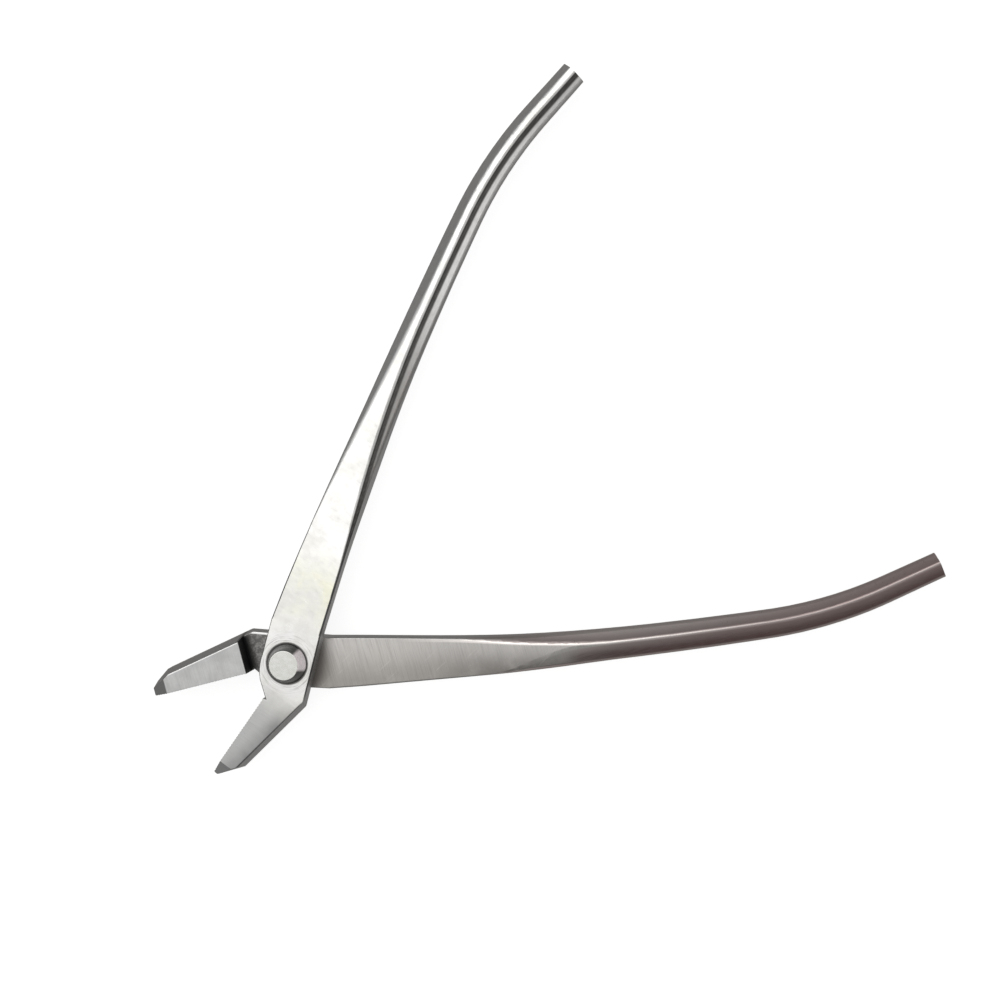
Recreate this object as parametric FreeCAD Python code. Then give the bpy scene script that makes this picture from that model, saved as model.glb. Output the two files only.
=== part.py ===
import FreeCAD, Part
import math
import os

# Long-handled flat-jaw pliers: two crossing steel levers, half lapped and riveted.
# Millimetres. +Z runs along the rivet towards its head. The origin is on the rivet's axis, on the
# flat end of its tail. Each lever is drawn in its own closed frame, X along the line that halves the
# closed tool and Z from the lap face, and is then turned to its place.

Vector = FreeCAD.Vector
Z_AXIS = Vector(0, 0, 1)

# Whole tool
LAP_THICKNESS = 5.3
LAP_GAP = 0.04
REAR_AXIS_ANGLE = 15.3
OPENING_ANGLE = 40.7

# Rivet and washer
RIVET_DIAMETER = 6.0
HEAD_BASE_DIAMETER = 10.1
HEAD_TOP_DIAMETER = 7.6
HEAD_HEIGHT = 3.6
HEAD_EDGE_RADIUS = 0.3
TAIL_DIAMETER = 8.2
TAIL_HEIGHT = 0.9
TAIL_EDGE = 0.4
WASHER_DIAMETER = 10.0
WASHER_THICKNESS = 0.7
BORE_CLEARANCE = 0.04
HEAD_GAP = 0.04

# Jaws
JAW_TAPER = 0.18
BREADTH_X = -10.0
STEP_X = -10.9
GRIP_GAP = 0.04
TOOTH_PITCH = 0.8
TOOTH_DEPTH = 0.22
JAW_SLOPE = 1.2
SLOPE_START = -8.0
BEVEL_LENGTH = 4.0
BEVEL_ANGLE = 31.0
CORNER_RADIUS = 1.0
EDGE_RADIUS = 0.25


class Jaw:
    """Sizes in which the two jaws differ, in the closed frame. Turn is from the grip line. Breadth is
    at BREADTH_X, and tip_width at the end, both at the height widest_z. From there the outer side and
    the shoulder lean in to each face on narrow_sides, by lean and by shoulder_lean. Notch is the low
    point between the jaw's root and the boss, and boss_slope the slope of the boss's inner edge."""

    def __init__(self, turn, reach, breadth, lean, shoulder_x, tip_width, shoulder_lean, notch,
                 boss_slope, widest_z, narrow_sides):
        self.turn = turn
        self.reach = reach
        self.breadth = breadth
        self.lean = lean
        self.shoulder_x = shoulder_x
        self.tip_width = tip_width
        self.shoulder_lean = shoulder_lean
        self.notch = notch
        self.boss_slope = boss_slope
        self.widest_z = widest_z
        self.narrow_sides = narrow_sides


FRONT_JAW = Jaw(-2.1, 35.0, 9.2, 0.9, -29.7, 1.6, 0.8, Vector(-10.7, -0.25, 0), 0.334, 0.0, (1, -1))
REAR_JAW = Jaw(1.2, 36.6, 10.1, 1.5, -34.3, 4.3, 2.6, Vector(-10.3, -0.7, 0), 0.362, LAP_THICKNESS, (-1,))

# Boss edges, as seen from the front of the front lever
NOTCH_TOP = Vector(-7.3, 3.7, 0)
BOSS_CROWN = Vector(-4.7, 5.5, 0)
BOSS_END = Vector(-1.5, 6.6, 0)

# Shank and handle
SHANK_START = (9.0, 3.1)
SHANK_HEADING = 13.5
PLAIN_WIDTH = 9.3
WIDTH_TAPER = 0.018
BOSS_FLARE = 4.2
FLARE_REACH = 42.0
BOW_LENGTH = 111.0
BOW_RADIUS = 954.0
BEND_LENGTH = 30.2
BEND_RADIUS = 105.0
END_LENGTH = 13.6
HANDLE_DEPTH = 7.8
SIDE_FACET = 2.2
FRONT_FACET = 1.8
BACK_FACET = 0.7
BACK_FACET_SHIFT = -0.8
EDGE_BREAK = 0.25
FACET_TRIM = 0.5
SIDE_TRIM = 0.9
STATION_STEP = 4.5
LEAD_IN = 13.5

# Distances from the rivet between which the flat shank grows into the handle's eight-sided section
FRONT_FALL = (15.0, 80.0)
BACK_FALL = (22.0, 62.0)
FRONT_OUTER_GROWTH = (34.0, 106.0)
FRONT_INNER_GROWTH = (22.0, 92.0)
BACK_OUTER_WIDTH_GROWTH = (52.0, 74.0)
BACK_OUTER_DEPTH_GROWTH = (62.0, 84.0)
BACK_INNER_GROWTH = (40.0, 85.0)

PATH_LENGTH = BOW_LENGTH + BEND_LENGTH + END_LENGTH
MID_Z = TAIL_HEIGHT + WASHER_THICKNESS + LAP_THICKNESS


def smooth_step(value, start, end):
    """0 before start, 1 after end, and a smooth rise between them."""
    t = min(max((value - start) / (end - start), 0.0), 1.0)
    return t * t * (3.0 - 2.0 * t)


def path_point(s):
    """Point and heading (radians) of the handle's centreline, s mm along it from the boss."""
    x, y = SHANK_START
    heading = math.radians(SHANK_HEADING)
    for least, length, radius in ((-LEAD_IN, BOW_LENGTH, BOW_RADIUS), (0.0, BEND_LENGTH, BEND_RADIUS)):
        run = min(max(s, least), length)
        new_heading = heading - run / radius
        x += radius * (math.sin(heading) - math.sin(new_heading))
        y += radius * (math.cos(new_heading) - math.cos(heading))
        heading = new_heading
        s -= length
    run = max(s, 0.0)
    return x + run * math.cos(heading), y + run * math.sin(heading), heading


def handle_width(s):
    """Plan width of the shank and handle."""
    reach = SHANK_START[0] + s
    flare = BOSS_FLARE * math.exp(-(reach / FLARE_REACH) ** 2)
    return PLAIN_WIDTH - WIDTH_TAPER * reach + flare


def section_wire(s):
    """Eight-sided section with rounded corners, square to the centreline."""
    x, y, heading = path_point(s)
    along = Vector(math.cos(heading), math.sin(heading), 0)
    outward = Vector(-along.y, along.x, 0)
    centre = Vector(x, y, 0)
    half = handle_width(s) / 2.0
    reach = SHANK_START[0] + s
    front = LAP_THICKNESS + (HANDLE_DEPTH / 2.0 - LAP_THICKNESS) * smooth_step(reach, *FRONT_FALL)
    back = -HANDLE_DEPTH / 2.0 * smooth_step(reach, *BACK_FALL)
    side = (front - back - SIDE_FACET) / 2.0

    def chamfer(flat, width_growth, depth_growth):
        wide = EDGE_BREAK + (half - flat - EDGE_BREAK) * smooth_step(reach, *width_growth)
        deep = EDGE_BREAK + (side - EDGE_BREAK) * smooth_step(reach, *depth_growth)
        return wide, deep

    front_out = chamfer(FRONT_FACET / 2.0, FRONT_OUTER_GROWTH, FRONT_OUTER_GROWTH)
    front_in = chamfer(FRONT_FACET / 2.0, FRONT_INNER_GROWTH, FRONT_INNER_GROWTH)
    back_out = chamfer(BACK_FACET / 2.0 + BACK_FACET_SHIFT,
                       BACK_OUTER_WIDTH_GROWTH, BACK_OUTER_DEPTH_GROWTH)
    back_in = chamfer(BACK_FACET / 2.0 - BACK_FACET_SHIFT, BACK_INNER_GROWTH, BACK_INNER_GROWTH)
    corners = [
        (half - front_out[0], front), (half, front - front_out[1]),
        (half, back + back_out[1]), (half - back_out[0], back),
        (back_in[0] - half, back), (-half, back + back_in[1]),
        (-half, front - front_in[1]), (front_in[0] - half, front),
    ]
    points = [centre + outward * u + Z_AXIS * v for u, v in corners]
    return rounded_polygon(points, 2 * (FACET_TRIM, SIDE_TRIM, SIDE_TRIM, FACET_TRIM))


def rounded_polygon(points, trims):
    """Closed wire of straight sides joined by tangent arcs that cut each corner by its trim."""
    count = len(points)
    starts, middles, ends = [], [], []
    for i, corner in enumerate(points):
        back = points[i - 1] - corner
        ahead = points[(i + 1) % count] - corner
        cut = min(trims[i], 0.4 * back.Length, 0.4 * ahead.Length)
        half_angle = back.getAngle(ahead) / 2.0
        back.normalize()
        ahead.normalize()
        radius = cut * math.tan(half_angle)
        inward = (back + ahead).normalize()
        starts.append(corner + back * cut)
        ends.append(corner + ahead * cut)
        middles.append(corner + inward * (radius / math.sin(half_angle) - radius))
    edges = []
    for i in range(count):
        edges.append(Part.Arc(starts[i], middles[i], ends[i]).toShape())
        edges.append(Part.LineSegment(ends[i], starts[(i + 1) % count]).toShape())
    return Part.Wire(edges)


def trim_beyond(shape, point, outward):
    """Shape without what lies beyond the plane through point that faces outward."""
    block = Part.makeBox(120, 120, 60, Vector(-60, -60, 0))
    block.Placement = FreeCAD.Placement(point, FreeCAD.Rotation(Z_AXIS, outward))
    return shape.cut(block)


def handle_solid():
    """Shank and handle from the boss to the square-cut end. The loft starts inside the boss and is
    cut square where the shank begins."""
    length = LEAD_IN + PATH_LENGTH
    count = round(length / STATION_STEP)
    wires = [section_wire(length * i / count - LEAD_IN) for i in range(count + 1)]
    x, y, heading = path_point(0)
    back = Vector(-math.cos(heading), -math.sin(heading), 0)
    return trim_beyond(Part.makeLoft(wires, True, False), Vector(x, y, 0), back)


def turned(point, angle):
    """Point turned about the rivet's axis."""
    return FreeCAD.Rotation(Z_AXIS, angle).multVec(point)


def head_face(jaw):
    """Plan of the boss and of the jaw where it is widest."""
    x, y, heading = path_point(0)
    across = Vector(-math.sin(heading), math.cos(heading), 0) * (handle_width(0) / 2.0)
    outer = Vector(x, y, 0) + across
    inner = Vector(x, y, 0) - across
    shoulder_y = -jaw.breadth - JAW_TAPER * (jaw.shoulder_x - BREADTH_X)
    shoulder = turned(Vector(jaw.shoulder_x, shoulder_y, 0), jaw.turn)
    jaw_slope = -math.tan(math.atan(JAW_TAPER) - math.radians(jaw.turn))
    corner_x = inner.y - shoulder.y + jaw_slope * shoulder.x - jaw.boss_slope * inner.x
    corner_x /= jaw_slope - jaw.boss_slope
    corner = Vector(corner_x, inner.y + jaw.boss_slope * (corner_x - inner.x), 0)
    tip = turned(Vector(-jaw.reach, -GRIP_GAP, 0), jaw.turn)
    tip_back = turned(Vector(-jaw.reach, -jaw.tip_width, 0), jaw.turn)
    root = turned(Vector(STEP_X, -GRIP_GAP, 0), jaw.turn)
    points = [NOTCH_TOP, jaw.notch, root, tip, tip_back, shoulder, corner, inner, outer, BOSS_END]
    edges = [Part.LineSegment(a, b).toShape() for a, b in zip(points, points[1:])]
    edges.append(Part.Arc(BOSS_END, BOSS_CROWN, NOTCH_TOP).toShape())
    return Part.Face(Part.Wire(edges)), tip_back, shoulder, corner


def leaned(solid, start, end, lean, jaw):
    """Solid whose side from start to end leans in from the jaw's widest height to its narrow faces."""
    edge = end - start
    for side in jaw.narrow_sides:
        slope = side * lean / (LAP_THICKNESS - side * jaw.widest_z)
        outward = Vector(edge.y, -edge.x, 0).normalize() + Z_AXIS * slope
        solid = trim_beyond(solid, start + Z_AXIS * jaw.widest_z, outward)
    return solid


def near_corner(edge, corner):
    """Whether edge is a nearly upright one at the corner."""
    box = edge.BoundBox
    off = math.hypot(box.Center.x - corner.x, box.Center.y - corner.y)
    return box.ZLength > 1 and off < 1.5 * CORNER_RADIUS


def eased_edges(solid, jaw, corner):
    """Solid with the borders of its faces rounded, but for a jaw's widest level halfway through."""
    shank_end = SHANK_START[0] - 1.6
    edges = []
    for edge in solid.Edges:
        box = edge.BoundBox
        ends = [turned(v.Point, -jaw.turn) for v in edge.Vertexes]
        upright = box.ZLength > 1.2 and box.XLength < 0.1 or near_corner(edge, corner)
        at_shank = box.XMin > shank_end
        at_grip = all(abs(p.y + GRIP_GAP) < 0.01 for p in ends)
        at_wall = all(abs(p.x - STEP_X) < 0.3 for p in ends) and abs(box.ZMax) < 0.01
        at_widest = jaw.widest_z == 0 and all(abs(p.z) < 0.01 for p in ends)
        if not (upright or at_shank or at_grip or at_wall or at_widest):
            edges.append(edge)
    return solid.makeFillet(EDGE_RADIUS, edges)


def grip_grooves(jaw):
    """V grooves across the grip face, one every pitch."""
    half = TOOTH_PITCH / 2.0
    height = 4 * LAP_THICKNESS
    lip = GRIP_GAP / 2.0
    count = int((jaw.reach + STEP_X) / TOOTH_PITCH)
    grooves = []
    for i in range(count):
        x = STEP_X - TOOTH_PITCH * (i + 1)
        corners = [(x - half, lip - GRIP_GAP), (x, -GRIP_GAP - TOOTH_DEPTH), (x + half, lip - GRIP_GAP)]
        points = [turned(Vector(u, v, -height / 2.0), jaw.turn) for u, v in corners]
        groove = Part.Face(Part.makePolygon(points + points[:1]))
        grooves.append(groove.extrude(Vector(0, 0, height)))
    return Part.makeCompound(grooves)


def jaw_faces_trimmed(solid, jaw):
    """Solid with both jaw faces sloped towards the tip and bevelled at its end."""
    bevel_start = BEVEL_LENGTH - jaw.reach
    fall = math.tan(math.radians(JAW_SLOPE)) * (SLOPE_START - bevel_start)
    slope = (SLOPE_START, LAP_THICKNESS, math.radians(JAW_SLOPE))
    bevel = (bevel_start, LAP_THICKNESS - fall, math.radians(BEVEL_ANGLE))
    for side in (1, -1):
        for x, height, tilt in (slope, bevel):
            outward = turned(Vector(-math.sin(tilt), 0, side * math.cos(tilt)), jaw.turn)
            solid = trim_beyond(solid, turned(Vector(x, 0, side * height), jaw.turn), outward)
    return solid


def lever(jaw):
    """One lever in its closed frame: lap face at z = 0, handle towards +Y, jaw below the grip line."""
    plan, tip_back, shoulder, corner = head_face(jaw)
    plate = plan.extrude(Vector(0, 0, LAP_THICKNESS))
    lower = plan.extrude(Vector(0, 0, -LAP_THICKNESS))
    lower = trim_beyond(lower, turned(Vector(STEP_X, 0, 0), jaw.turn), turned(Vector(1, 0, 0), jaw.turn))
    head = plate.fuse(lower).removeSplitter()
    head = leaned(head, shoulder, corner, jaw.lean, jaw)
    head = leaned(head, tip_back, shoulder, jaw.shoulder_lean, jaw)
    head = head.makeFillet(CORNER_RADIUS, [edge for edge in head.Edges if near_corner(edge, corner)])
    head = jaw_faces_trimmed(head, jaw)
    head = eased_edges(head.removeSplitter(), jaw, corner)
    head = head.cut(grip_grooves(jaw))
    bore = Part.makeCylinder(RIVET_DIAMETER / 2.0 + BORE_CLEARANCE, 3 * LAP_THICKNESS,
                             Vector(0, 0, -LAP_THICKNESS))
    return head.fuse(handle_solid()).cut(bore).removeSplitter()


def place(shape, flip, angle, height):
    """Shape turned over about X when flip is set, turned about the rivet, and raised."""
    placed = shape.copy()
    if flip:
        placed.rotate(Vector(), Vector(1, 0, 0), 180)
    placed.rotate(Vector(), Z_AXIS, angle)
    placed.translate(Vector(0, 0, height))
    return placed


def front_lever():
    """The lever in front, turned open."""
    return place(lever(FRONT_JAW), False, REAR_AXIS_ANGLE + OPENING_ANGLE, MID_Z + LAP_GAP / 2.0)


def rear_lever():
    """The lever behind: the same form turned over."""
    return place(lever(REAR_JAW), True, REAR_AXIS_ANGLE, MID_Z - LAP_GAP / 2.0)


def revolved(points):
    """Solid turned from a half profile of (radius, height) points."""
    outline = [Vector(r, 0, z) for r, z in points]
    face = Part.Face(Part.makePolygon(outline + outline[:1]))
    return face.revolve(Vector(), Z_AXIS, 360)


def pivot_rivet():
    """Frustum head, plain shank and peened tail with a flat end."""
    seat = MID_Z + LAP_THICKNESS + LAP_GAP / 2.0 + HEAD_GAP
    head_top = seat + HEAD_HEIGHT
    shank = RIVET_DIAMETER / 2.0
    tail = TAIL_DIAMETER / 2.0
    body = revolved([
        (0, 0), (tail - TAIL_EDGE, 0), (tail, TAIL_EDGE), (tail, TAIL_HEIGHT),
        (shank, TAIL_HEIGHT), (shank, seat), (HEAD_BASE_DIAMETER / 2.0, seat),
        (HEAD_TOP_DIAMETER / 2.0, head_top), (0, head_top),
    ])
    rim = [edge for edge in body.Edges if edge.BoundBox.ZMin > head_top - HEAD_EDGE_RADIUS / 2.0
           and edge.BoundBox.XLength > HEAD_TOP_DIAMETER / 2.0 + 0.1]
    return body.makeFillet(HEAD_EDGE_RADIUS, rim)


def tail_washer():
    """Thin ring between the rear lever and the peened tail."""
    top = MID_Z - LAP_GAP / 2.0 - LAP_THICKNESS
    ring = Part.makeCylinder(WASHER_DIAMETER / 2.0, top - TAIL_HEIGHT, Vector(0, 0, TAIL_HEIGHT))
    hole = Part.makeCylinder(RIVET_DIAMETER / 2.0 + BORE_CLEARANCE, LAP_THICKNESS)
    return ring.cut(hole)


os.makedirs("parts", exist_ok=True)
for make in (front_lever, rear_lever, pivot_rivet, tail_washer):
    make().exportStep("parts/" + make.__name__ + ".step")
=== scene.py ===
import bpy
import math
from mathutils import Matrix, Vector

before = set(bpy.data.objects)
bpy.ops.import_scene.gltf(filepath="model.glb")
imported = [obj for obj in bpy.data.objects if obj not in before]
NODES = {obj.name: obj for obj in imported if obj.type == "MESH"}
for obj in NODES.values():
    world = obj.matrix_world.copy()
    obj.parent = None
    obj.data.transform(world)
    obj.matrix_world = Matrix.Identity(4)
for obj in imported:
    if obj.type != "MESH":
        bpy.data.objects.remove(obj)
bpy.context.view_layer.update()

# ---------------------------------------------------------------- measures
# Metres. An angle is in degrees where its name ends in ANGLE, and otherwise in radians.
MM_PER_METRE = 1000.0
PIVOT_Z = 0.0069
REAR_AXIS_ANGLE = 15.3
OPENING_ANGLE = 40.7
REAR_AXIS = math.radians(REAR_AXIS_ANGLE)
FRONT_AXIS = math.radians(REAR_AXIS_ANGLE + OPENING_ANGLE)

CAMERA_AT = Vector((0.10417, 0.06019, 0.40593))
CAMERA_TARGET = Vector((0.05414, 0.04045, PIVOT_Z))
CAMERA_ROLL = -0.0166
FOCAL_PER_WIDTH = 1.6119
SENSOR_WIDTH = 36.0
CLIP_START = 0.01

FLOOR_HALF = 3.0
FLOOR_DROP = 0.0002
FLOOR_BASE = 0.35
FLOOR_ROUGHNESS = 0.95
FLOOR_GLOW = 0.86
FLOOR_IN_STEEL = (0.22, 0.215, 0.21)

# The dome: its plain light, its tint, and lobes given by their direction, the closeness to it at
# which they start and are full, and their strength
DOME_PLAIN = 0.26
DOME_TINT = (1.0, 0.995, 0.985)
DOME_BEHIND = 0.95
DOME_LOBES = (
    ((-0.30, 0.35, 1.0), 0.80, 0.97, 1.05),
    ((0.0, 0.0, 1.0), 0.2, 0.95, 0.20),
    ((1.0, -0.35, 0.10), 0.80, 0.97, 0.55),
    ((0.0, 1.0, 0.15), 0.70, 0.98, 0.12),
)


# ---------------------------------------------------------------- small node-tree helpers
class Tree:
    """A node tree with short calls for the nodes used here."""

    def __init__(self, node_tree):
        self.nodes = node_tree.nodes
        self.links = node_tree.links

    def feed(self, socket, value):
        """Links value into socket, or sets it when it is a plain number or colour."""
        if isinstance(value, bpy.types.NodeSocket):
            self.links.new(value, socket)
        elif isinstance(value, (tuple, list)) and len(value) == 3 and socket.type == "RGBA":
            socket.default_value = (*value, 1.0)
        else:
            socket.default_value = value

    def maths(self, operation, a, b=0.0):
        node = self.nodes.new("ShaderNodeMath")
        node.operation = operation
        self.feed(node.inputs[0], a)
        self.feed(node.inputs[1], b)
        return node.outputs[0]

    def both(self, a, b):
        """Product of two shares."""
        return self.maths("MULTIPLY", a, b)

    def ramp(self, value, low, high, out_low=0.0, out_high=1.0):
        """Smooth step of value from low to high."""
        node = self.nodes.new("ShaderNodeMapRange")
        node.interpolation_type = "SMOOTHSTEP"
        self.feed(node.inputs["Value"], value)
        self.feed(node.inputs["From Min"], low)
        self.feed(node.inputs["From Max"], high)
        self.feed(node.inputs["To Min"], out_low)
        self.feed(node.inputs["To Max"], out_high)
        return node.outputs["Result"]

    def band(self, value, low, high, soft):
        """1 between low and high, falling to 0 over soft on both sides."""
        up = self.ramp(value, low - soft, low + soft)
        down = self.ramp(value, high - soft, high + soft, 1.0, 0.0)
        return self.both(up, down)

    def mix(self, factor, a, b):
        """Colour a, or b where factor is 1."""
        node = self.nodes.new("ShaderNodeMix")
        node.data_type = "RGBA"
        self.feed(node.inputs["Factor"], factor)
        self.feed(node.inputs["A"], a)
        self.feed(node.inputs["B"], b)
        return node.outputs["Result"]

    def blend_values(self, factor, a, b):
        """Number a, or b where factor is 1."""
        node = self.nodes.new("ShaderNodeMix")
        node.data_type = "FLOAT"
        self.feed(node.inputs["Factor"], factor)
        self.feed(node.inputs["A"], a)
        self.feed(node.inputs["B"], b)
        return node.outputs["Result"]

    def fade(self, value, span, before, after):
        """Colour before, which turns into after as value goes through span."""
        return self.mix(self.ramp(value, *span), before, after)

    def mark(self, under, value, span, tone, most):
        """Colour under, with tone over it by up to most as value goes through span."""
        return self.mix(self.ramp(value, *span, 0.0, most), under, tone)

    def cover(self, under, where, tone, most):
        """Colour under, with tone over it by up to most where the share is 1."""
        return self.mix(self.both(where, most), under, tone)

    def split(self, vector):
        node = self.nodes.new("ShaderNodeSeparateXYZ")
        self.feed(node.inputs[0], vector)
        return node.outputs

    def vector_maths(self, operation, a, b=(0.0, 0.0, 0.0), out="Vector"):
        node = self.nodes.new("ShaderNodeVectorMath")
        node.operation = operation
        self.feed(node.inputs[0], a)
        self.feed(node.inputs[1], b)
        return node.outputs[out]

    def scaled(self, vector, scale):
        """vector with its parts multiplied by scale's."""
        return self.vector_maths("MULTIPLY", vector, scale)

    def mapping(self, vector, turn, scale=(1.0, 1.0, 1.0)):
        """vector turned by turn about Z, then scaled."""
        turned = self.nodes.new("ShaderNodeMapping")
        self.feed(turned.inputs["Vector"], vector)
        turned.inputs["Rotation"].default_value = (0.0, 0.0, turn)
        return self.scaled(turned.outputs["Vector"], scale)

    def noise(self, vector, scale, detail, rough):
        node = self.nodes.new("ShaderNodeTexNoise")
        self.feed(node.inputs["Vector"], vector)
        node.inputs["Scale"].default_value = scale
        node.inputs["Detail"].default_value = detail
        node.inputs["Roughness"].default_value = rough
        return node.outputs["Fac"]

    def spun(self, flat, radius):
        """Turning marks: noise in rings round Z, close together outwards and long round the circle."""
        bearing = self.vector_maths("NORMALIZE", flat)
        round_about = self.scaled(bearing, (RING_WOBBLE, RING_WOBBLE, 0.0))
        outwards = self.nodes.new("ShaderNodeCombineXYZ")
        self.feed(outwards.inputs[2], self.maths("MULTIPLY", radius, RINGS_PER_MM))
        return self.noise(self.vector_maths("ADD", round_about, outwards.outputs[0]), *RING_NOISE)

    def bump(self, height, strength):
        node = self.nodes.new("ShaderNodeBump")
        self.feed(node.inputs["Height"], height)
        node.inputs["Strength"].default_value = strength
        node.inputs["Distance"].default_value = BUMP_DEPTH
        return node.outputs["Normal"]


class Paint(Tree):
    """A new material's node tree, with one shader."""

    def __init__(self, name):
        self.material = bpy.data.materials.new(name)
        self.material.use_nodes = True
        super().__init__(self.material.node_tree)
        self.nodes.clear()
        self.out = self.nodes.new("ShaderNodeOutputMaterial")
        self.shader = self.nodes.new("ShaderNodeBsdfPrincipled")
        self.links.new(self.shader.outputs["BSDF"], self.out.inputs["Surface"])
        self.coordinates = self.nodes.new("ShaderNodeTexCoord")

    def in_millimetres(self, vector):
        return self.scaled(vector, (MM_PER_METRE,) * 3)

    def finish(self, tone, roughness, normal):
        """Metal of that colour, roughness and bumped normal."""
        self.feed(self.shader.inputs["Base Color"], tone)
        self.feed(self.shader.inputs["Roughness"], roughness)
        self.feed(self.shader.inputs["Normal"], normal)
        self.shader.inputs["Metallic"].default_value = 1.0


def dress(node_name, paint):
    """Gives a CAD node its material."""
    for slot in NODES[node_name].material_slots:
        slot.material = paint.material


BROWN_BLUE = 0.97


def grey(level, warmth=0.0):
    """A grey, or a yellowish one when warmth is above 0."""
    return level * (1.0 + warmth), level, level * (1.0 - warmth)


def brown(level, redness):
    """A pinkish brown of that level, as on the rear handle."""
    return level * (1.0 + redness), level, level * BROWN_BLUE


# ---------------------------------------------------------------- materials: numbers used by both levers
# Millimetres and radians in a lever's closed frame: X along the handle, Y outwards from the other
# lever. Its centreline is a long bow, a bend and a straight end, each starting where the one before
# it stops.
SHANK_AT = Vector((9.0, 3.1))
SHANK_HEADING = math.radians(13.5)
BOW_LENGTH, BOW_RADIUS = 111.0, 954.0
BEND_LENGTH, BEND_RADIUS = 30.2, 105.0
HALF_WIDTH, HALF_WIDTH_TAPER = 4.65, 0.009
HALF_FLARE, FLARE_REACH = 2.1, 42.0
EDGE_BREAK = 0.25

# Scales that drop the height, and that draw noise out along or across the handle
IN_PLAN = (1.0, 1.0, 0.0)
ALONG_HANDLE = (0.05, 1.0, 1.0)
ACROSS_HANDLE = (1.0, 0.03, 0.2)

# Noise: scale, detail and roughness
FRONT_CLOUD, REAR_CLOUD = (0.15, 4.0, 0.6), (0.15, 5.0, 0.62)
FRONT_FLECK, REAR_FLECK = (0.9, 4.0, 0.7), (1.1, 4.0, 0.7)
FRONT_BRUSH, REAR_BRUSH = (5.2, 3.0, 0.6), (4.6, 4.0, 0.65)
GRAIN, SCRATCH = (4.2, 3.0, 0.6), (0.9, 3.0, 0.55)
BLOTCH, SPECK = (0.9, 3.0, 0.55), (3.2, 2.0, 0.6)
RING_NOISE, RING_WOBBLE, RINGS_PER_MM = (1.0, 3.0, 0.6), 1.5, 4.2
FRONT_FLECK_SHAPE = (1.0, 0.4, 1.0)
SCRATCH_SHAPE, SCRATCH_TURN = (0.10, 1.6, 1.0), 0.5

# The middle part of a noise's values, the roughness at its two ends, and bumps
NOISE_SPAN = (0.2, 0.8)
FRONT_ROUGHNESS, REAR_ROUGHNESS, RIVET_ROUGHNESS = (0.26, 0.38), (0.26, 0.40), (0.20, 0.34)
FRONT_BUMP, REAR_BUMP, RIVET_BUMP = 0.18, 0.22, 0.05
BUMP_DEPTH = 0.00002

# Marks over a tone: the span of values over which one comes in, its tone, and how far it covers
FRONT_STAINS = ((0.60, 0.34), (0.70, 0.695, 0.64), 0.46)
FRONT_FLECKS = ((0.55, 0.80), grey(0.55), 0.25)
FRONT_BRUSH_MARKS = ((0.5, 0.8), grey(0.5), 0.10)
FRONT_JAW_CLOUDS = ((0.35, 0.7), grey(0.68), 0.30)
FRONT_JAW_BRUSH_MARKS = ((0.4, 0.75), grey(0.36), 0.22)
FRONT_GRAIN_MARKS = ((0.35, 0.75), grey(0.35), 0.22)
REAR_CLOUDS = ((0.40, 0.72), grey(0.52, 0.04), 0.35)
REAR_BRUSH_MARKS = ((0.40, 0.75), grey(0.27, 0.05), 0.38)
REAR_SCRATCHES = ((0.62, 0.72), grey(0.75, 0.03), 0.16)
REAR_JAW_BRUSH_MARKS = ((0.40, 0.75), grey(0.36), 0.30)
HANDLE_REDDENING = ((90.0, 150.0), brown(0.40, 0.36), 0.45)
HANDLE_GRAIN_MARKS = ((0.35, 0.75), brown(0.48, 0.16), 0.20)
RIVET_SPECKS = ((0.62, 0.78), grey(0.95), 0.16)


def arc_end(at, heading, length, radius):
    """End point and heading of an arc that turns clockwise, and its centre."""
    end_heading = heading - length / radius
    centre = at + radius * Vector((math.sin(heading), -math.cos(heading)))
    end = centre - radius * Vector((math.sin(end_heading), -math.cos(end_heading)))
    return end, end_heading, centre


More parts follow.
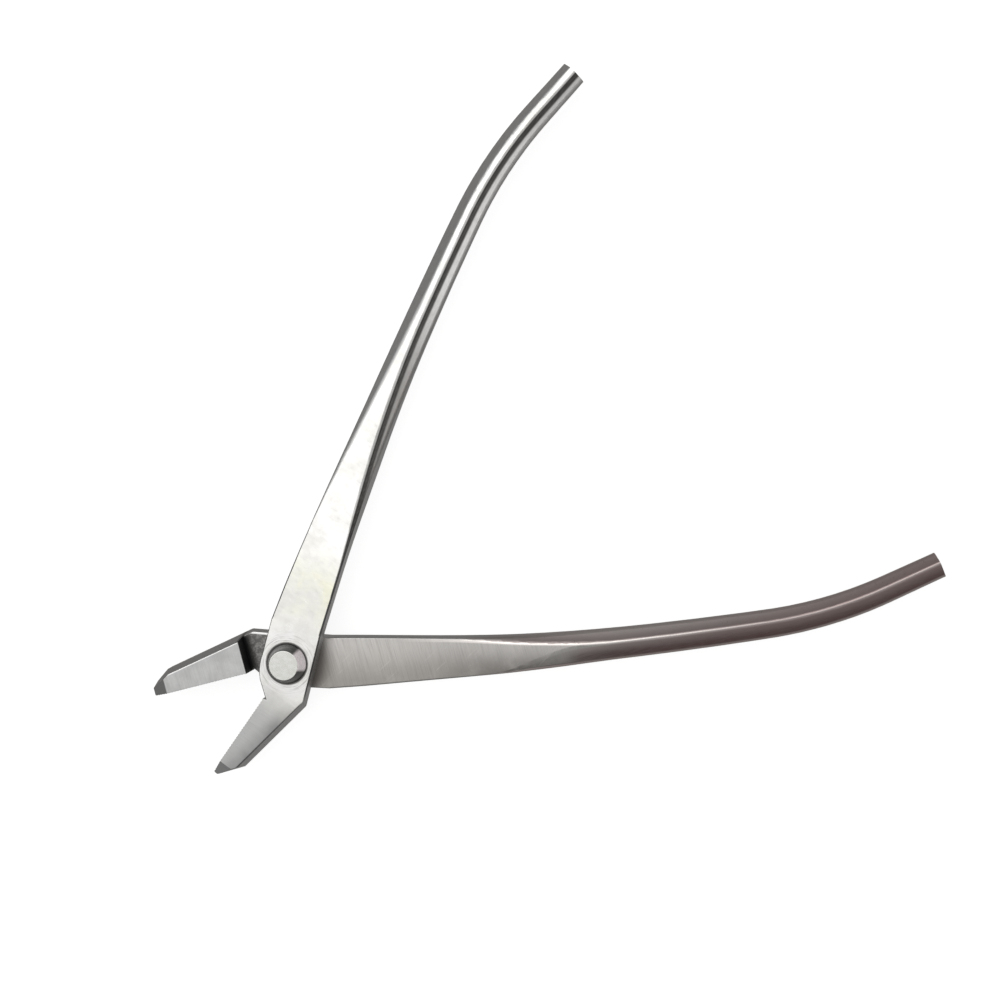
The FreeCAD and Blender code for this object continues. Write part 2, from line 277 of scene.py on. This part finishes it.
class Lever(Paint):
    """A lever's material with the coordinates that its looks are laid out in, in millimetres: the
    closed frame, flipped where the lever is turned over, so that +Y is its outer side."""

    def __init__(self, name, axis, flipped):
        super().__init__(name)
        flip = (1.0, -1.0, 1.0) if flipped else (1.0, 1.0, 1.0)
        self.place = self.in_millimetres(self.mapping(self.coordinates.outputs["Object"], -axis, flip))
        self.x, _, self.z = self.split(self.place)
        facing = self.mapping(self.coordinates.outputs["Normal"], -axis, flip)
        _, self.out_tilt, self.up = self.split(facing)
        self.flat = self.scaled(self.place, IN_PLAN)
        self.from_pivot = self.vector_maths("LENGTH", self.flat, out="Value")
        self.offset = self.offset_from_centreline()
        self.half = self.half_width()

    def offset_from_centreline(self):
        """Distance outwards from the handle's centreline."""
        bow_end, bow_heading, bow_centre = arc_end(SHANK_AT, SHANK_HEADING, BOW_LENGTH, BOW_RADIUS)
        bend_end, end_heading, bend_centre = arc_end(bow_end, bow_heading, BEND_LENGTH, BEND_RADIUS)
        normal = Vector((-math.sin(end_heading), math.cos(end_heading)))
        from_bow = self.vector_maths("DISTANCE", self.flat, (*bow_centre, 0.0), "Value")
        from_bend = self.vector_maths("DISTANCE", self.flat, (*bend_centre, 0.0), "Value")
        along_normal = self.vector_maths("DOT_PRODUCT", self.flat, (*normal, 0.0), "Value")
        on_bow = self.maths("SUBTRACT", from_bow, BOW_RADIUS)
        on_bend = self.maths("SUBTRACT", from_bend, BEND_RADIUS)
        on_end = self.maths("SUBTRACT", along_normal, normal.dot(bend_end))
        past_bow = self.maths("GREATER_THAN", self.x, bow_end.x)
        past_bend = self.maths("GREATER_THAN", self.x, bend_end.x)
        return self.blend_values(past_bend, self.blend_values(past_bow, on_bow, on_bend), on_end)

    def half_width(self):
        """Half the plan width of the shank and handle."""
        share = self.maths("DIVIDE", self.x, FLARE_REACH)
        squared = self.maths("MULTIPLY", share, share)
        flare = self.maths("EXPONENT", self.maths("MULTIPLY", squared, -1.0))
        plain = self.maths("SUBTRACT", HALF_WIDTH, self.maths("MULTIPLY", self.x, HALF_WIDTH_TAPER))
        return self.maths("ADD", plain, self.maths("MULTIPLY", flare, HALF_FLARE))

    def from_edge(self, point, degrees):
        """Distance in from the straight plan edge through point, turned by degrees from the X axis."""
        angle = math.radians(degrees)
        inward = Vector((-math.sin(angle), math.cos(angle)))
        along = self.vector_maths("DOT_PRODUCT", self.flat, (*inward, 0.0), "Value")
        return self.maths("SUBTRACT", along, inward.dot(Vector(point)))

    def facet_edge(self, flat, start, end):
        """Distance from the centreline of the edge between a face and the facet beside it, which
        grows from start to end until only flat is left of the face."""
        grown = self.ramp(self.x, start, end)
        whole = self.maths("SUBTRACT", self.half, EDGE_BREAK)
        cut = self.maths("MULTIPLY", self.maths("SUBTRACT", whole, flat), grown)
        return self.maths("SUBTRACT", whole, cut)


# ---------------------------------------------------------------- front lever
# Spans are in millimetres, along X unless the name says otherwise: FROM_PIVOT is from the rivet's
# axis, OFFSET out from the centreline, IN and OUT are from an edge, and UP is the upward part of the
# normal. A third number is how softly a band ends. BACK is a plan edge, by a point on it and its
# angle in degrees. FACET is the half width left of the face and the span over which it is cut down.
FRONT_JAW_BACK = ((-10.3, -7.9), -12.3)
FRONT_FACET = (0.9, 22.0, 92.0)
FRONT_FACE_HEIGHT = (15.0, 80.0, 12.2, 10.8)

SATIN, IVORY = (0.94, 0.935, 0.93), (0.87, 0.865, 0.73)
IVORY_FROM_PIVOT, IVORY_CLOUDS = (13.0, 27.0, 6.0), (0.30, 0.62)
SHADED_OFFSET, SHADED_LENGTH, SHADED = (0.5, -3.5), (50.0, 82.0, 8.0), grey(0.78)

FRONT_JAW_START = (-4.5, -16.0)
# The jaw's greying towards its outer edge is painted shade.
FRONT_JAW_SHADE = ((4.5, 0.2), grey(0.60), grey(0.34))
SCUFF_FROM_PIVOT, SCUFF_RINGS, SCUFF = (9.5, 5.6), (0.42, 0.72), (grey(0.30, 0.02), 0.6)
# A painted dark line of shade along the jaw's outer edge.
OUTLINE_IN, OUTLINE_START, OUTLINE_SHADE = (0.48, 0.22), (-5.0, -7.5), (grey(0.04), 0.9)
# A near-black ring round the rivet's head, painted shadow.
SEAT_SHADOW_FROM_PIVOT, SEAT_SHADOW = (4.80, 5.45, 0.22), (grey(0.033, 0.05), 0.92)

# The side tones are painted light and shade: a painted highlight along the handle's inner facet, a dark
# line of painted shade by the front face, and facets, walls and jaw sides made darker or lighter by how
# light falls on them.
INNER_HIGHLIGHT = ((70.0, 104.0), grey(0.42, 0.03), grey(0.93, 0.01))
FACE_EDGE_SHADE_OUT, FACE_EDGE_SHADE = (0.85, 1.35), grey(0.075, 0.04)
LOWER_FACET_OUT, LOWER_FACET = (2.2, 2.9), grey(0.45, 0.02)
INNER_START, INNER_SHADE_BEFORE = (22.0, 40.0), grey(0.10)
SIDE_WALL = ((0.7, 1.3), grey(0.10), grey(0.72))
SIDE_WALL_UP = (0.45, 0.20)
OUTER_SIDE = ((18.0, 34.0), grey(0.12), grey(0.72))
SIDE_TURN = (-0.05, 0.05)
JAW_SIDE = ((0.96, 0.88), grey(0.04), grey(0.60))
JAW_SIDE_START = (-3.0, -7.0)

FACE_UP = (0.955, 0.993)
FACE_BORDER, FACE_BORDER_UP = (0.12, -0.08), (0.0, 0.3)
INNER_HALF_OFFSET, INNER_HALF_START = (0.3, -0.3), (20.0, 28.0)
BRUSH_HEIGHT, FLECK_HEIGHT = 0.5, 0.6


def front_face(steel, cloud, fleck, brush):
    """Near-white satin shank clouded with ivory and dimmed by painted shade along the handle, and a jaw
    that greys towards its outer edge in painted shade, with a painted dark line there and a painted
    shadow ring round the rivet's head."""
    ramp, both = steel.ramp, steel.both
    shaded = both(ramp(steel.offset, *SHADED_OFFSET), steel.band(steel.x, *SHADED_LENGTH))
    ivory = both(steel.band(steel.from_pivot, *IVORY_FROM_PIVOT), ramp(cloud, *IVORY_CLOUDS))
    face = steel.mix(ivory, steel.mix(shaded, SATIN, SHADED), IVORY)
    face = steel.mark(face, cloud, *FRONT_STAINS)
    face = steel.mark(face, fleck, *FRONT_FLECKS)
    face = steel.mark(face, brush, *FRONT_BRUSH_MARKS)

    from_back = steel.from_edge(*FRONT_JAW_BACK)
    jaw = steel.fade(from_back, *FRONT_JAW_SHADE)
    jaw = steel.mark(jaw, cloud, *FRONT_JAW_CLOUDS)
    jaw = steel.mark(jaw, brush, *FRONT_JAW_BRUSH_MARKS)
    face = steel.fade(steel.x, FRONT_JAW_START, face, jaw)

    ring = steel.spun(steel.flat, steel.from_pivot)
    scuffed = both(ramp(steel.from_pivot, *SCUFF_FROM_PIVOT), ramp(ring, *SCUFF_RINGS))
    face = steel.cover(face, scuffed, *SCUFF)
    # A painted dark line of shade along the jaw's outer edge.
    in_outline_shade = both(ramp(from_back, *OUTLINE_IN), ramp(steel.x, *OUTLINE_START))
    face = steel.cover(face, in_outline_shade, *OUTLINE_SHADE)
    # A painted shadow ring round the rivet's head.
    return steel.cover(face, steel.band(steel.from_pivot, *SEAT_SHADOW_FROM_PIVOT), *SEAT_SHADOW)


def front_side(steel, past_edge, grain):
    """Grey sides, lightened and darkened by painted light and shade. The handle's inner facet has a dark
    line of painted shade by the front face, then a painted highlight.
    """
    fade = steel.fade
    # A dark line of painted shade by the front face, then a painted highlight.
    inner = fade(past_edge, FACE_EDGE_SHADE_OUT, FACE_EDGE_SHADE, fade(steel.x, *INNER_HIGHLIGHT))
    inner = fade(past_edge, LOWER_FACET_OUT, inner, LOWER_FACET)
    # Painted shade on the inner facet near the pivot, the side wall by the face, the outer side near the
    # pivot and the jaw's sides.
    inner = fade(steel.x, INNER_START, INNER_SHADE_BEFORE, inner)
    below_face = steel.maths("SUBTRACT", steel.ramp(steel.x, *FRONT_FACE_HEIGHT), steel.z)
    inner = fade(steel.up, SIDE_WALL_UP, inner, fade(below_face, *SIDE_WALL))
    side = fade(steel.out_tilt, SIDE_TURN, inner, fade(steel.x, *OUTER_SIDE))
    side = fade(steel.x, JAW_SIDE_START, side, fade(steel.up, *JAW_SIDE))
    return steel.mark(side, grain, *FRONT_GRAIN_MARKS)


def front_steel():
    """The front lever's face and sides. They meet where the surface tips over, and along the
    handle's inner facet at that facet's edge."""
    steel = Lever("front_lever_steel", FRONT_AXIS, False)
    ramp, both = steel.ramp, steel.both
    cloud = steel.noise(steel.place, *FRONT_CLOUD)
    fleck = steel.noise(steel.scaled(steel.place, FRONT_FLECK_SHAPE), *FRONT_FLECK)
    brush = steel.noise(steel.scaled(steel.place, ACROSS_HANDLE), *FRONT_BRUSH)
    grain = steel.noise(steel.scaled(steel.place, ALONG_HANDLE), *GRAIN)

    inward = steel.maths("MULTIPLY", steel.offset, -1.0)
    past_edge = steel.maths("SUBTRACT", inward, steel.facet_edge(*FRONT_FACET))
    by_edge = both(ramp(past_edge, *FACE_BORDER), ramp(steel.up, *FACE_BORDER_UP))
    on_inner_half = both(ramp(steel.offset, *INNER_HALF_OFFSET), ramp(steel.x, *INNER_HALF_START))
    on_face = steel.blend_values(on_inner_half, ramp(steel.up, *FACE_UP), by_edge)
    side = front_side(steel, past_edge, grain)
    tone = steel.mix(on_face, side, front_face(steel, cloud, fleck, brush))

    height = steel.maths("ADD", both(brush, BRUSH_HEIGHT), both(fleck, FLECK_HEIGHT))
    roughness = ramp(fleck, *NOISE_SPAN, *FRONT_ROUGHNESS)
    steel.finish(tone, roughness, steel.bump(height, FRONT_BUMP))
    return steel


# ---------------------------------------------------------------- rear lever
# Numbers as for the front lever. DOWN is the share of the way from the inner to the outer edge, and
# HEIGHT is along Z.
REAR_JAW_BACK = ((-9.8, -8.8), -9.0)
REAR_BOSS_EDGE = ((10.5, -3.3), 19.9)
REAR_FACET = (1.15, 40.0, 85.0)

# The face's darkening from its inner edge to its outer edge is painted shade.
REAR_HIGH = ((36.0, 58.0), grey(0.58, 0.03), grey(0.50, 0.03))
REAR_LOW = ((30.0, 58.0), grey(0.36, 0.05), grey(0.17, 0.06))
REAR_DOWN = (0.05, 0.92)
RIDGE_OUT, RIDGE_START = (-0.2, 0.75, 0.25), (26.0, 50.0)
# A painted highlight along the face's ridge, dimming towards the handle's end.
RIDGE_HIGHLIGHT = ((70.0, 125.0), brown(0.93, 0.06), brown(0.43, 0.14))
# A dark pool of painted shadow round the pivot, under the front lever's boss.
UNDER_BOSS_SHADOW_FROM_PIVOT, UNDER_BOSS_SHADOW = (12.5, 7.2), (grey(0.10, 0.10), 0.85)

# The recess's dark tones are painted shade, mottled by noise and darkest by the step wall.
RECESS = ((0.42, 0.66), grey(0.13, 0.03), grey(0.27, 0.03))
RECESS_START = (-2.0, -5.0)
RECESS_END, RECESS_SHADE = (-8.0, -10.6), grey(0.05)
# Painted highlights along the recess's boss edge and the jaw's back edge.
BOSS_EDGE_IN, JAW_EDGE_IN, EDGE_HIGHLIGHT = (0.05, 0.60, 0.15), (-0.1, 0.30, 0.15), grey(1.0)
REAR_JAW = ((0.32, 0.68), grey(0.50), grey(0.62))
REAR_JAW_START, REAR_JAW_HEIGHT = (-9.0, -10.4), (7.2, 8.2)

# The handle facets' tones are painted shade, darker outwards and by the ridge, with a painted reflection
# on the outer rim; the jaw side has a painted highlight by its face.
RIM_IN, RIM_REFLECTION = (0.95, 0.45), brown(0.60, 0.16)
OUTER_BY_RIDGE = ((66.0, 130.0), brown(0.50, 0.12), brown(0.35, 0.30))
OUTER_LOW = ((66.0, 96.0), brown(0.16, 0.20), brown(0.14, 0.50))
OUTER_OFFSET = (-0.6, 2.4)
INNER_SIDE = ((-0.2, -2.2), brown(0.32, 0.16), brown(0.56, 0.10))
HANDLE_TURN = (-0.1, 0.1)
HANDLE_START, BEFORE_HANDLE = (40.0, 62.0), grey(0.45, 0.02)
REAR_JAW_SIDE = ((0.95, 0.86), grey(1.0), grey(0.44))
REAR_FACE_UP = (0.93, 0.985)
# The step wall is painted near-black, as shade.
STEP_WALL_X, STEP_WALL_SHADE = (-11.5, -10.3, 0.3), (grey(0.028), 0.9)
STEP_WALL_UP, STEP_WALL_HEIGHT = (0.7, 0.3), (8.6, 7.4)


def rear_face(steel, past_inner, cloud, fleck, brush, on_jaw):
    """Warm grey brushed shank that darkens outwards in painted shade, with a painted highlight along its
    ridge, painted shadow round the pivot, a recess darkened by painted shade by the boss and a paler
    jaw, with painted highlights along the recess's boss edge and the jaw's edge."""
    fade, mark, band, ramp = steel.fade, steel.mark, steel.band, steel.ramp
    width = steel.maths("ADD", steel.half, steel.half)
    down = steel.maths("DIVIDE", past_inner, width)
    # Painted shade: darker from the inner edge to the outer.
    face = fade(down, REAR_DOWN, fade(steel.x, *REAR_HIGH), fade(steel.x, *REAR_LOW))
    face = mark(face, cloud, *REAR_CLOUDS)
    face = mark(face, brush, *REAR_BRUSH_MARKS)
    turned = steel.mapping(steel.place, SCRATCH_TURN)
    scratch = steel.noise(steel.scaled(turned, SCRATCH_SHAPE), *SCRATCH)
    face = mark(face, scratch, *REAR_SCRATCHES)
    # A painted highlight along the ridge.
    on_ridge = steel.both(band(past_inner, *RIDGE_OUT), ramp(steel.x, *RIDGE_START))
    face = steel.mix(on_ridge, face, fade(steel.x, *RIDGE_HIGHLIGHT))
    # Painted shadow round the pivot.
    face = steel.cover(face, ramp(steel.from_pivot, *UNDER_BOSS_SHADOW_FROM_PIVOT), *UNDER_BOSS_SHADOW)

    # The recess in painted shade.
    recess = fade(steel.x, RECESS_END, fade(fleck, *RECESS), RECESS_SHADE)
    by_boss = band(steel.from_edge(*REAR_BOSS_EDGE), *BOSS_EDGE_IN)
    # Painted highlight along the boss edge.
    recess = steel.mix(by_boss, recess, EDGE_HIGHLIGHT)
    face = fade(steel.x, RECESS_START, face, recess)

    jaw = mark(fade(cloud, *REAR_JAW), brush, *REAR_JAW_BRUSH_MARKS)
    # Painted highlight along the jaw's edge.
    by_back = band(steel.from_edge(*REAR_JAW_BACK), *JAW_EDGE_IN)
    return steel.mix(on_jaw, face, steel.mix(by_back, jaw, EDGE_HIGHLIGHT))


def rear_side(steel, past_inner, grain, on_jaw):
    """Brown-grey handle facets, darker outwards in painted shade but for a rim with a painted
    reflection, and a grey jaw side with a painted highlight by its face.
    """
    fade = steel.fade
    outer = fade(steel.offset, OUTER_OFFSET, fade(steel.x, *OUTER_BY_RIDGE), fade(steel.x, *OUTER_LOW))
    to_rim = steel.maths("SUBTRACT", steel.half, steel.offset)
    # A painted reflection along the outer rim.
    outer = fade(to_rim, RIM_IN, outer, RIM_REFLECTION)
    inner = steel.mark(fade(past_inner, *INNER_SIDE), steel.x, *HANDLE_REDDENING)
    handle = fade(steel.out_tilt, HANDLE_TURN, inner, outer)
    handle = steel.mark(handle, grain, *HANDLE_GRAIN_MARKS)
    side = fade(steel.x, HANDLE_START, BEFORE_HANDLE, handle)
    # A painted highlight on the jaw side by its face.
    return steel.mix(on_jaw, side, fade(steel.up, *REAR_JAW_SIDE))


def rear_steel():
    """The rear lever's face and sides, which meet where the surface tips over, and the wall where its
    jaw's full thickness starts, darkened by painted shade."""
    steel = Lever("rear_lever_steel", REAR_AXIS, True)
    ramp = steel.ramp
    cloud = steel.noise(steel.place, *REAR_CLOUD)
    fleck = steel.noise(steel.place, *REAR_FLECK)
    brush = steel.noise(steel.scaled(steel.place, ACROSS_HANDLE), *REAR_BRUSH)
    grain = steel.noise(steel.scaled(steel.place, ALONG_HANDLE), *GRAIN)

    past_inner = steel.maths("ADD", steel.offset, steel.facet_edge(*REAR_FACET))
    on_jaw = steel.both(ramp(steel.x, *REAR_JAW_START), ramp(steel.z, *REAR_JAW_HEIGHT))
    face = rear_face(steel, past_inner, cloud, fleck, brush, on_jaw)
    side = rear_side(steel, past_inner, grain, on_jaw)
    tone = steel.fade(steel.up, REAR_FACE_UP, side, face)
    # The step wall in near-black painted shade.
    upright = steel.maths("MAXIMUM", ramp(steel.up, *STEP_WALL_UP), ramp(steel.z, *STEP_WALL_HEIGHT))
    on_wall = steel.both(steel.band(steel.x, *STEP_WALL_X), upright)
    tone = steel.cover(tone, on_wall, *STEP_WALL_SHADE)

    roughness = ramp(brush, *NOISE_SPAN, *REAR_ROUGHNESS)
    steel.finish(tone, roughness, steel.bump(brush, REAR_BUMP))
    return steel


# ---------------------------------------------------------------- rivet and washer
# The bearing is round the rivet, in degrees, and HEIGHT is along Z in millimetres.
RIVET_TOP = ((0.35, 0.7), (0.66, 0.66, 0.63), (0.78, 0.78, 0.76))
# The cone's dark tones are painted shade.
CONE = ((0.35, 0.7), grey(0.12), grey(0.20))
CONE_UP = (0.97, 0.86)
# A painted highlight on the cone's right side; its sheen makes that side less metallic.
CONE_HIGHLIGHT_BEARING, CONE_HIGHLIGHT_CLOSENESS, CONE_HIGHLIGHT = 14.0, (0.76, 0.90), (0.98, 0.90, 0.92)
CONE_HIGHLIGHT_SHEEN = 0.8
# A painted shadow ring at the head's foot.
FOOT_HEIGHT, FOOT_SHADOW = (12.20, 12.50, 0.05), (grey(0.03), 0.85)


def rivet_steel(name):
    """Turned steel, faintly blotched on the head's top, with its cone darkened by painted shade but for
    a painted highlight and sheen on the right, and a painted shadow ring at the head's foot.
    """
    steel = Paint(name)
    place = steel.in_millimetres(steel.coordinates.outputs["Object"])
    flat = steel.scaled(place, IN_PLAN)
    radius = steel.vector_maths("LENGTH", flat, out="Value")
    blotch = steel.noise(place, *BLOTCH)
    speck = steel.noise(place, *SPECK)
    up = steel.split(steel.coordinates.outputs["Normal"])[2]

    top = steel.mark(steel.fade(blotch, *RIVET_TOP), speck, *RIVET_SPECKS)
    bearing = steel.vector_maths("NORMALIZE", flat)
    angle = math.radians(CONE_HIGHLIGHT_BEARING)
    aim = (math.cos(angle), math.sin(angle), 0.0)
    closeness = steel.vector_maths("DOT_PRODUCT", bearing, aim, "Value")
    # The painted highlight on the cone, by bearing.
    bright = steel.ramp(closeness, *CONE_HIGHLIGHT_CLOSENESS)
    cone = steel.mix(bright, steel.fade(steel.spun(flat, radius), *CONE), CONE_HIGHLIGHT)
    on_cone = steel.ramp(up, *CONE_UP)
    tone = steel.mix(on_cone, top, cone)
    # A painted shadow ring at the head's foot.
    tone = steel.cover(tone, steel.band(steel.split(place)[2], *FOOT_HEIGHT), *FOOT_SHADOW)

    roughness = steel.ramp(blotch, *NOISE_SPAN, *RIVET_ROUGHNESS)
    steel.finish(tone, roughness, steel.bump(speck, RIVET_BUMP))
    # A painted sheen: the highlighted side of the cone is less metallic.
    sheen = steel.both(steel.both(bright, on_cone), CONE_HIGHLIGHT_SHEEN)
    steel.feed(steel.shader.inputs["Metallic"], steel.maths("SUBTRACT", 1.0, sheen))
    return steel


dress("front_lever", front_steel())
dress("rear_lever", rear_steel())
dress("pivot_rivet", rivet_steel("pivot_rivet_steel"))
dress("tail_washer", rivet_steel("tail_washer_steel"))


# ---------------------------------------------------------------- floor, lights and camera
def floor():
    """Pale floor just under the rivet's tail. It glows a little, which keeps the contact shadow
    faint, and shows darker in the steel than it is."""
    mesh = bpy.data.meshes.new("floor")
    half = FLOOR_HALF
    corners = [(-half, -half, 0), (half, -half, 0), (half, half, 0), (-half, half, 0)]
    mesh.from_pydata(corners, [], [(0, 1, 2, 3)])
    plane = bpy.data.objects.new("floor", mesh)
    bpy.context.scene.collection.objects.link(plane)
    plane.location.z = -FLOOR_DROP
    tree = Paint("floor_paint")
    for socket, value in (("Base Color", (FLOOR_BASE,) * 3), ("Roughness", FLOOR_ROUGHNESS),
                          ("Specular IOR Level", 0.0), ("Emission Color", (1.0, 1.0, 1.0)),
                          ("Emission Strength", FLOOR_GLOW)):
        tree.feed(tree.shader.inputs[socket], value)
    dim = tree.nodes.new("ShaderNodeEmission")
    tree.feed(dim.inputs["Color"], FLOOR_IN_STEEL)
    rays = tree.nodes.new("ShaderNodeLightPath")
    either = tree.nodes.new("ShaderNodeMixShader")
    tree.feed(either.inputs[0], rays.outputs["Is Glossy Ray"])
    tree.feed(either.inputs[1], tree.shader.outputs["BSDF"])
    tree.feed(either.inputs[2], dim.outputs["Emission"])
    tree.feed(tree.out.inputs["Surface"], either.outputs["Shader"])
    mesh.materials.append(tree.material)


def studio():
    """A soft dome with a broad bright lobe overhead to the left, a low one to the right, and fainter
    ones straight above and beyond the tool. The camera sees it as plain near-white."""
    world = bpy.data.worlds.new("studio")
    bpy.context.scene.world = world
    world.use_nodes = True
    tree = Tree(world.node_tree)
    towards = tree.nodes.new("ShaderNodeTexCoord").outputs["Generated"]
    light = DOME_PLAIN
    for direction, start, full, strength in DOME_LOBES:
        aim = tuple(Vector(direction).normalized())
        closeness = tree.vector_maths("DOT_PRODUCT", towards, aim, "Value")
        light = tree.maths("ADD", light, tree.ramp(closeness, start, full, 0.0, strength))
    rays = tree.nodes.new("ShaderNodeLightPath")
    background = tree.nodes["Background"]
    tree.feed(background.inputs["Color"], DOME_TINT)
    seen = tree.blend_values(rays.outputs["Is Camera Ray"], light, DOME_BEHIND)
    tree.feed(background.inputs["Strength"], seen)


def camera():
    """Looks down at the target, upright along Y but for a small roll about its line of sight."""
    data = bpy.data.cameras.new("camera")
    data.sensor_width = SENSOR_WIDTH
    data.lens = FOCAL_PER_WIDTH * SENSOR_WIDTH
    data.clip_start = CLIP_START
    eye = bpy.data.objects.new("camera", data)
    bpy.context.scene.collection.objects.link(eye)
    back = (CAMERA_AT - CAMERA_TARGET).normalized()
    right = Vector((0.0, 1.0, 0.0)).cross(back).normalized()
    up = back.cross(right)
    turned_right = right * math.cos(CAMERA_ROLL) + up * math.sin(CAMERA_ROLL)
    turned_up = back.cross(turned_right)
    basis = Matrix((turned_right, turned_up, back)).transposed()
    eye.matrix_world = Matrix.Translation(CAMERA_AT) @ basis.to_4x4()
    bpy.context.scene.camera = eye


floor()
studio()
camera()
bpy.context.scene.view_settings.view_transform = "Standard"
